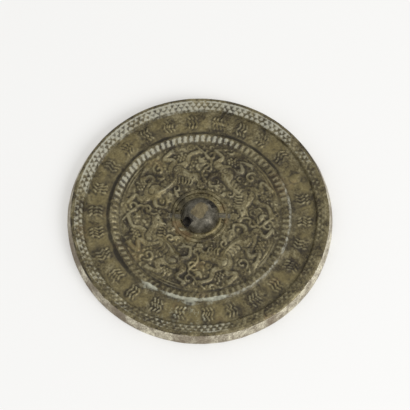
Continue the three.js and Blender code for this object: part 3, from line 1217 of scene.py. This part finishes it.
@dataclass(frozen=True)
class TarnishedFace(Finish):
    """The reflecting face: once polished, now dulled to a brown grey with a few green spots."""

    name: str = "tarnished_face"
    deep: Tone = tone(78, 72, 58)
    mid: Tone = tone(112, 106, 88)
    pale: Tone = tone(142, 138, 120)
    mottle: tuple[float, float] = (60.0, 0.25)
    skin: tuple[float, float, float, float] = (0.03, 240.0, 1200.0, 0.2)
    spot: Tone = tone(104, 136, 112)

    def weather(self, shop: Workshop, bench: Bench, shader: bpy.types.Node, color: Socket) -> None:
        """Scatters the green spots."""
        spots = bench.step(bench.noise(130.0, 4.0, 0.6, 0.5), 0.6, 0.68)
        bench.put(shader.inputs["Base Color"], bench.mix(spots, color, self.spot))
        bench.put(shader.inputs["Metallic"], bench.blend(spots, 0.75, 0.1))
        bench.put(shader.inputs["Roughness"], bench.blend(spots, 0.34, 0.8))


@dataclass(frozen=True)
class ShadedBore(Finish):
    """Inside of the cord hole, painted near black as painted shade."""

    name: str = "painted_shade_bore"
    deep: Tone = tone(14, 12, 9)
    mid: Tone = tone(26, 22, 16)
    pale: Tone = tone(60, 54, 42)
    mottle: tuple[float, float] = (500.0, 0.3)
    skin: tuple[float, float, float, float] = (0.1, 700.0, 2000.0, 0.4)


# ---- The casting -------------------------------------------------------------------------


@dataclass
class Casting:
    """The whole mirror: turned shells, bridged, chased with the relief and dressed."""

    section: Section = field(default_factory=Section)
    bridge_gap: float = 0.35
    inner_columns: int = 360
    outer_columns: int = 540
    rim_columns: int = 756
    face_columns: int = 126
    change_r: float = 26.0
    name: str = "mirror_bronze"

    def build(self, sheet: ReliefSheet) -> bpy.types.Object:
        """Makes the closed, chased mesh.

        Args:
            sheet: Relief to raise on the back.

        Returns:
            The piece, at the origin, with its place in its mesh.
        """
        s = self.section
        knob = Knob(s)
        inner_start = (knob.outer_r + self.bridge_gap, s.field_z)
        inner_end = (self.change_r, s.field_z)
        outer_start = (self.change_r + self.bridge_gap, s.field_z)
        outer_end = (s.band_in_r, s.band_z)
        rim_start = (s.band_in_r + self.bridge_gap, s.band_z)
        rim_end = (s.foot_r - s.foot_break, 0.0)
        face_start = (s.foot_r - 3.0, 0.0)
        shells = [
            knob.build(),
            turn_section("inner_field", stepped([inner_start, inner_end], [0.4]), self.inner_columns),
            turn_section("outer_field", self.outer_profile(outer_start, outer_end), self.outer_columns),
            turn_section("rim", self.rim_profile(rim_start, rim_end), self.rim_columns),
            turn_section("face", stepped([face_start, (0.0, 0.0)], [9.0]), self.face_columns),
        ]
        piece = shells[0]
        make_active(*shells)
        bpy.ops.object.join()
        piece.name = self.name
        piece.data.name = self.name
        for first, second in (
            ((knob.outer_r, s.field_z), inner_start),
            (inner_end, outer_start),
            (outer_end, rim_start),
            (rim_end, face_start),
        ):
            bridge(piece, first, second)
        recalculate_normals(piece)
        bpy.ops.object.shade_smooth(keep_sharp_edges=True)
        self.chase(piece, sheet)
        return piece

    def outer_profile(self, start: Point, end: Point) -> list[Point]:
        """Section of the outer field and the ridge."""
        s = self.section
        corners = [
            start,
            (s.field_r, s.field_z),
            (s.ridge_in_r - 0.15, s.ridge_z - 0.08),
            (s.ridge_in_r + 0.25, s.ridge_z),
            (s.ridge_out_r - 0.1, s.ridge_z - 0.02),
            (s.ridge_out_r + 0.15, s.ridge_z - 0.2),
            (end[0] - 0.2, end[1] + 0.08),
            end,
        ]
        return stepped(corners, [0.4, 0.38, 0.5, 0.4, 0.4, 0.38, 0.4])

    def rim_profile(self, start: Point, end: Point) -> list[Point]:
        """Section of the inscription band, the toothed slope, the wall and the foot."""
        s = self.section
        corners = [
            start,
            (s.band_out_r - 0.1, s.band_z),
            (s.band_out_r + 0.12, s.band_z + 0.12),
            (s.slope_r - 0.15, s.slope_z - 0.15),
            (s.slope_r + 0.15, s.slope_z + 0.02),
            (s.peak_r - 0.2, s.peak_z - 0.06),
            (s.peak_r + 0.15, s.peak_z - 0.02),
            (s.edge_r - 0.2, s.edge_z + 0.08),
            (s.edge_r + 0.02, s.edge_z - 0.15),
            (s.foot_r - 0.06, s.foot_break + 0.5),
            (s.foot_r, s.foot_break),
            end,
        ]
        return stepped(corners, [0.42, 0.3, 0.4, 0.35, 0.33, 0.4, 0.42, 0.4, 0.85, 0.6, 0.6])

    def chase(self, piece: bpy.types.Object, sheet: ReliefSheet) -> None:
        """Moves the vertices to the relief, and wears the wall."""
        co = read_points(piece.data) / MM
        r = np.hypot(co[:, 0], co[:, 1])
        back = (co[:, 2] > 3.0) & (r < self.section.edge_r - 0.05)
        in_knob = r < self.section.knob_r + 0.05
        lift = sheet.read(sheet.height, co[:, 0], co[:, 1])
        co[:, 2] += np.where(back, lift * np.where(in_knob, 0.35, 1.0), 0)
        wall = (r > self.section.edge_r - 0.3) & (co[:, 2] > 0.1)
        angle = np.arctan2(co[:, 1], co[:, 0])
        wear = 0.05 + 0.03 * np.sin(7 * angle + 1) + 0.025 * np.sin(17 * angle + co[:, 2])
        wear = wear + 0.02 * np.sin(41 * angle)
        pull = np.where(wall, 1 - np.clip(wear, 0, 1) / np.maximum(r, 1), 1)
        co[:, :2] *= pull[:, None]
        co[:, 2] = np.clip(co[:, 2], 0, self.section.knob_top_z)
        write_points(piece.data, co * MM)


# ---- Patina ------------------------------------------------------------------------------


@dataclass
class Patina:
    """Where each kind of patina, wear and dirt lies on the casting, and where light and shade are painted, as
    masks from 0 to 1.

    Its coordinates are the vertices', in millimetres. The bands named on_ are 1 on one part of the
    section; cloud and patch are smooth random values, in large lumps and in small ones.
    """

    section: Section
    sheet: ReliefSheet
    rng: np.random.Generator
    co: Array

    def __post_init__(self) -> None:
        """Works out what the masks share."""
        s, sheet = self.section, self.sheet
        self.x, self.y = self.co[:, 0], self.co[:, 1]
        self.r = np.hypot(self.x, self.y)
        self.at = bearing(self.x, self.y)
        self.cloud = self.read(sheet.cloud(self.rng, 7.0))
        self.patch = self.read(sheet.cloud(self.rng, 3.5))
        self.low = self.read(sheet.softened(sheet.height, 0.9) - sheet.height)
        self.high = self.read(sheet.height - sheet.softened(sheet.height, 1.1))
        self.raised = np.clip(self.high / 0.22 + 0.35, 0, 1)
        self.on_field = ease(self.r, s.field_r + 0.5, s.field_r - 0.5)
        self.on_band = self.ring(s.band_in_r - 0.6, s.band_in_r, s.band_out_r, s.band_out_r + 0.5)
        inner = ease(self.r, s.field_r - 1.6, s.field_r - 0.4) * self.on_field
        outer = self.ring(s.ridge_out_r, s.ridge_out_r + 0.5, s.band_in_r + 0.2, s.band_in_r + 2.2)
        self.foot_line = np.maximum(outer, inner)

    def read(self, values: Array) -> Array:
        """Values of the sheet at the vertices."""
        return self.sheet.read(values, self.x, self.y)

    def ring(self, start: float, full: float, fall: float, end: float) -> Array:
        """1 between two radii, rising from start to full and falling from fall to end."""
        return ease(self.r, start, full) * ease(self.r, end, fall)

    def arc(self, start: float, end: float, soft: float) -> Array:
        """1 between two bearings, with soft edges outside them."""
        return arc_window(self.at, start, end, soft)

    def masks(self) -> dict[str, Array]:
        """Value of every mask at each vertex, by name."""
        near_ring = self.r < self.section.ring_r + 1.5
        # rubbed wear with painted highlight: paler on every raised crest
        crest = np.clip(self.high / 0.42, 0, 1) * (0.75 + 0.25 * self.patch)
        off_middle = np.hypot(self.x - 0.3, self.y - 0.2)
        return {
            "hollow": self.hollow(),
            "crest": np.clip(crest, 0, 1) * np.where(near_ring, 0.5, 1),
            "bloom_and_highlight": self.bloom_and_highlight() * (0.45 + 0.55 * self.raised),
            "verdigris": self.verdigris(),
            "ochre_and_highlight": self.ochre_and_highlight(),
            "rust": self.rust(),
            "painted_shade": self.painted_shade(),
            "worn": ease(off_middle + 0.7 * self.patch, 4.9, 3.3),
            "stain_and_shade": self.stain_and_shade(),
        }

    def hollow(self) -> Array:
        """Dirt and painted shade in every hollow, and painted shade in the corners at the foot of the ridge
        and of the rim.
        """
        out_r = self.section.band_out_r
        step_line = ease(self.r, out_r - 1.6, out_r - 0.2) * self.on_band
        sunk = np.clip(self.low / 0.3, 0, 1) * (1 + 0.6 * self.on_band)
        sunk = sunk + 0.35 * self.foot_line + 0.2 * step_line
        return np.clip(sunk + self.on_band * ease(self.patch, 0.7, 2.0) * 0.5, 0, 1)

    def bloom_and_highlight(self) -> Array:
        """Pale grey patina and painted highlight: patina with painted light on the rim's far side and left,
        where it faces the key; painted highlight on the step and the serrated slope at the left and far side,
        and along the ridge crest at the right and near side.
        """
        s, cloud, patch = self.section, self.cloud, self.patch
        rim = self.ring(s.band_out_r + 0.3, s.slope_r, s.peak_r, s.edge_r)
        rim = rim * ease(self.r, s.peak_r + 0.4, s.peak_r - 0.6)
        rim = rim * (0.14 + 0.34 * self.arc(80, 326, 18) + 0.5 * self.arc(206, 304, 18))
        rim = rim * (0.92 + 0.08 * cloud + 0.16 * patch)
        step = self.ring(s.band_out_r, s.band_out_r + 0.3, s.slope_r + 0.3, s.slope_r + 0.8)
        step = step * (0.5 * self.arc(84, 292, 12) + 0.45 * self.arc(196, 276, 14))
        # painted highlight on the serrated slope where it faces the key
        slope = self.ring(s.field_r - 0.3, s.field_r + 0.6, s.ridge_out_r - 0.2, s.ridge_out_r + 0.4)
        slope = slope * ease(self.r, s.ridge_in_r + 0.3, s.ridge_in_r - 0.3)
        slope = slope * (0.2 * self.arc(140, 330, 20) + 0.5 * self.arc(204, 282, 22))
        # painted highlight: the lit line along the ridge crest at the right and near side
        line = self.ring(s.ridge_in_r, s.ridge_in_r + 0.4, s.ridge_out_r + 0.5, s.ridge_out_r + 1.2)
        line = line * self.arc(340, 484, 12) * (1.0 + 0.3 * patch)
        uneven = 1 + 0.2 * patch
        return np.clip(np.maximum.reduce([rim, step * uneven, slope * uneven, line]), 0, 1)

    def verdigris(self) -> Array:
        """Thick pale green on the ridge at the near left, and on the strokes beside it."""
        s, patch = self.section, self.patch
        crest = self.ring(s.ridge_in_r - 0.9, s.ridge_in_r, s.ridge_out_r + 0.2, s.ridge_out_r + 1.4)
        crest = crest * ease(self.r, s.ridge_in_r - 0.4, s.ridge_in_r + 0.1)
        crest = crest * self.arc(76, 124, 8) * (0.85 + 0.25 * patch)
        spread = self.ring(s.ridge_in_r, s.ridge_out_r, s.band_in_r + 0.2, s.band_in_r + 2.2)
        spread = spread * self.arc(86, 124, 8) * (0.5 + 0.3 * patch)
        band = self.on_band * (0.3 + 0.7 * self.raised)
        band = band * self.arc(86, 126, 8) * (0.34 + 0.14 * patch)
        return np.clip(np.maximum.reduce([crest, spread, band]), 0, 1)

    def ochre_and_highlight(self) -> Array:
        """Olive yellow on the inscription band and in clouds on the field, and a painted highlight on the
        collar's right side, which faces the key.
        """
        band = 0.45 + 0.2 * self.arc(90, 300, 30) + 0.3 * self.cloud + 0.15 * self.patch
        # painted highlight on the collar's right side, which faces the key
        collar = self.ring(9.4, 9.9, 10.6, 11.2) * self.arc(300, 420, 30)
        on_field = self.on_field * (0.18 + 0.25 * self.cloud)
        return np.clip(np.maximum.reduce([self.on_band * band, collar, on_field]), 0, 1)

    def rust(self) -> Array:
        """Orange brown round the knob and in a few patches."""
        sides = self.arc(115, 160, 15) + 0.6 * self.arc(335, 370, 20)
        round_knob = self.ring(9.6, 11, 12.5, 17) * sides * (0.8 + 0.3 * self.patch)
        return np.clip(round_knob + ease(self.cloud, 1.2, 2.2) * 0.45, 0, 1)

    def painted_shade(self) -> Array:
        """Painted shade: dark brown on the ridge's far outer slope and on its inner foot at the near side,
        both facing away from the key, in the ring's groove at the far left where the knob's shadow falls, and
        on the far lip.
        """
        s = self.section
        far = self.ring(s.ridge_out_r - 0.3, s.ridge_out_r + 0.1, s.band_in_r, s.band_in_r + 0.9)
        far = far * self.arc(140, 330, 12) * 0.75
        near = self.foot_line * ease(self.r, 40.2, 39.4) * self.arc(60, 190, 25) * 0.6
        # painted shadow of the knob, on the ring's groove at the far left
        groove = self.ring(9.2, 9.5, 14.4, 15.6) * self.arc(184, 244, 20) * 0.62
        lip = ease(self.r, s.peak_r + 0.1, s.peak_r + 0.5) * self.arc(150, 345, 15) * 0.5
        return np.clip((far + near + groove + lip) * (0.85 + 0.25 * self.patch), 0, 1)

    def stain_and_shade(self) -> Array:
        """Brown on the wall: stain in random clouds and painted shade away from the near right, lifted where
        the key lights the near right and along a painted reflection streak at bearings 104 to 112.
        """
        # painted light: lifted on the lit near right and at a painted reflection streak, darker away from the
        # key
        lit = self.arc(15, 72, 16) + self.arc(104, 112, 5)
        return np.clip(0.42 - 0.6 * lit + 0.35 * self.cloud + 0.2 * self.arc(120, 175, 15), 0, 1)


def write_masks(piece: bpy.types.Object, masks: dict[str, Array]) -> None:
    """Keeps each mask as an attribute of the mesh."""
    for name, values in masks.items():
        attribute = piece.data.attributes.new(name, "FLOAT", "POINT")
        attribute.data.foreach_set("value", values.astype(np.float32))


def dress(piece: bpy.types.Object, section: Section, knob: Knob) -> None:
    """Gives each part of the casting its finish, by place."""
    shop = Workshop()
    for finish in (AgedBack(), RubbedKnob(), PaintedSheenWall(), TarnishedFace(), ShadedBore()):
        piece.data.materials.append(finish.material(shop))
    count = len(piece.data.polygons)
    middle = np.empty(count * 3)
    normal = np.empty(count * 3)
    piece.data.polygons.foreach_get("center", middle)
    piece.data.polygons.foreach_get("normal", normal)
    middle, normal = middle.reshape(-1, 3) / MM, normal.reshape(-1, 3)
    r = np.hypot(middle[:, 0], middle[:, 1])
    outward = (middle[:, :2] * normal[:, :2]).sum(1) / np.maximum(r, 1e-6)
    slot = np.zeros(count, int)
    slot[(r < section.knob_r + 0.05) & (middle[:, 2] > section.knob_foot_z - 0.1)] = 1
    slot[(r > section.edge_r - 0.1) & (middle[:, 2] < section.edge_z + 0.05)] = 2
    slot[middle[:, 2] < 0.05] = 3
    aside = np.abs(middle[:, 1]) < knob.hole_w * knob.hole_flare / 2 + 0.05
    inside = (outward < 0.25) & (normal[:, 2] < 0.2) | (middle[:, 2] < knob.hole_z) & (outward < 0.3)
    slot[(r < section.knob_r + 0.02) & (middle[:, 2] > 4.4) & (middle[:, 2] < 9.6) & aside & inside] = 4
    piece.data.polygons.foreach_set("material_index", slot)
    piece.data.update()


# ---- Studio ------------------------------------------------------------------------------


@dataclass(frozen=True)
class Studio:
    """Pale floor, soft light from the near right, and the camera."""

    distance: float = 0.885
    lens: float = 158.6
    aim: tuple[float, float, float] = (0.0024, 0.0059, 0.0036)  # right, far and up of the centre
    roll: float = 0.5
    floor_size: float = 3.0
    key_power: float = 25.0
    key_size: float = 1.15
    key_distance: float = 2.2
    key_from: tuple[float, float, float] = (0.653, -0.462, 0.596)  # right, far and up
    sky: float = 0.78

    def axes(self) -> tuple[Vector, Vector]:
        """Directions to the viewer's right and away from the viewer, on the floor."""
        turn = math.radians(VIEW_AZIMUTH)
        right = Vector((math.cos(turn), math.sin(turn), 0))
        return right, Vector((-math.sin(turn), math.cos(turn), 0))

    def build(self) -> None:
        """Makes the floor, the world, the lights and the camera."""
        self.make_floor()
        self.make_world()
        self.make_key()
        self.make_camera()
        bpy.context.scene.view_settings.view_transform = "Standard"

    def make_floor(self) -> None:
        """Plain pale floor."""
        deselect_all()
        bpy.ops.mesh.primitive_plane_add(size=self.floor_size, location=(0, 0, -0.00002))
        floor = bpy.context.object
        floor.name = "floor"
        material = bpy.data.materials.new("pale_floor")
        material.use_nodes = True
        shader = material.node_tree.nodes["Principled BSDF"]
        shader.inputs["Base Color"].default_value = (0.655, 0.67, 0.685, 1)
        shader.inputs["Emission Color"].default_value = (1.0, 0.94, 0.86, 1)
        shader.inputs["Emission Strength"].default_value = 0.24
        shader.inputs["Roughness"].default_value = 1.0
        shader.inputs["Specular IOR Level"].default_value = 0.0
        floor.data.materials.append(material)

    def make_world(self) -> None:
        """Even pale surroundings."""
        world = bpy.data.worlds.new("studio")
        world.use_nodes = True
        back = world.node_tree.nodes["Background"]
        back.inputs["Color"].default_value = (1.0, 0.995, 0.98, 1)
        back.inputs["Strength"].default_value = self.sky
        bpy.context.scene.world = world

    def make_key(self) -> None:
        """Soft key light from the near right."""
        right, far = self.axes()
        way = right * self.key_from[0] + far * self.key_from[1] + Vector((0, 0, self.key_from[2]))
        deselect_all()
        bpy.ops.object.light_add(type="AREA", location=way.normalized() * self.key_distance)
        key = bpy.context.object
        key.name = "key"
        key.data.energy = self.key_power
        key.data.size = self.key_size
        key.data.color = (1.0, 0.985, 0.97)
        key.rotation_euler = (-way).to_track_quat("-Z", "Y").to_euler()

    def make_camera(self) -> None:
        """Camera at the viewing angle, with a long lens."""
        right, far = self.axes()
        rise = math.radians(VIEW_ELEVATION)
        back = -far * math.cos(rise) + Vector((0, 0, math.sin(rise)))
        aim = right * self.aim[0] + far * self.aim[1] + Vector((0, 0, self.aim[2]))
        deselect_all()
        bpy.ops.object.camera_add(location=aim + back * self.distance)
        camera = bpy.context.object
        camera.name = "camera"
        camera.data.lens = self.lens
        camera.data.clip_start, camera.data.clip_end = 0.01, 20
        camera.rotation_mode = "QUATERNION"
        look = (-back).to_track_quat("-Z", "Y")
        look.rotate(Quaternion(back, math.radians(self.roll)))
        camera.rotation_quaternion = look
        bpy.context.scene.camera = camera


# ---- Making it ---------------------------------------------------------------------------


def carve_relief(section: Section, rng: np.random.Generator) -> ReliefSheet:
    """Draws the whole relief and wears it soft.

    Args:
        section: Sizes of the turned disc.
        rng: Source of every random choice.

    Returns:
        The finished sheet.
    """
    sheet = ReliefSheet()
    Field(section).carve(sheet, rng)
    StrokeBand(section).carve(sheet, rng)
    ToothedBands(section).carve(sheet)
    worn = sheet.softened(sheet.height, 0.17)
    rough = 0.045 * sheet.cloud(rng, 0.8) + 0.07 * sheet.cloud(rng, 3.0)
    sheet.height = worn * (0.94 + 0.06 * sheet.cloud(rng, 5.0)) + rough
    return sheet


def report_piece(piece: bpy.types.Object) -> None:
    """Logs a piece's name, size and number of faces."""
    faces = sum(len(face.vertices) - 2 for face in piece.data.polygons)
    size = ", ".join(f"{side / MM:.1f}" for side in piece.dimensions)
    LOG.info("%s: %s mm, %d triangles", piece.name, size, faces)


def main() -> None:
    """Builds the casting, dresses it, and sets the studio round it."""
    logging.basicConfig(level=logging.INFO, format="%(name)s: %(message)s")
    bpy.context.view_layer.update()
    rng = np.random.default_rng(SEED)
    section = Section()
    sheet = carve_relief(section, rng)
    piece = Casting(section).build(sheet)
    write_masks(piece, Patina(section, sheet, rng, read_points(piece.data) / MM).masks())
    dress(piece, section, Knob(section))
    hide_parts("mirror_casting")
    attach(piece, "root")
    report_piece(piece)
    Studio().build()


if __name__ == "__main__":
    main()
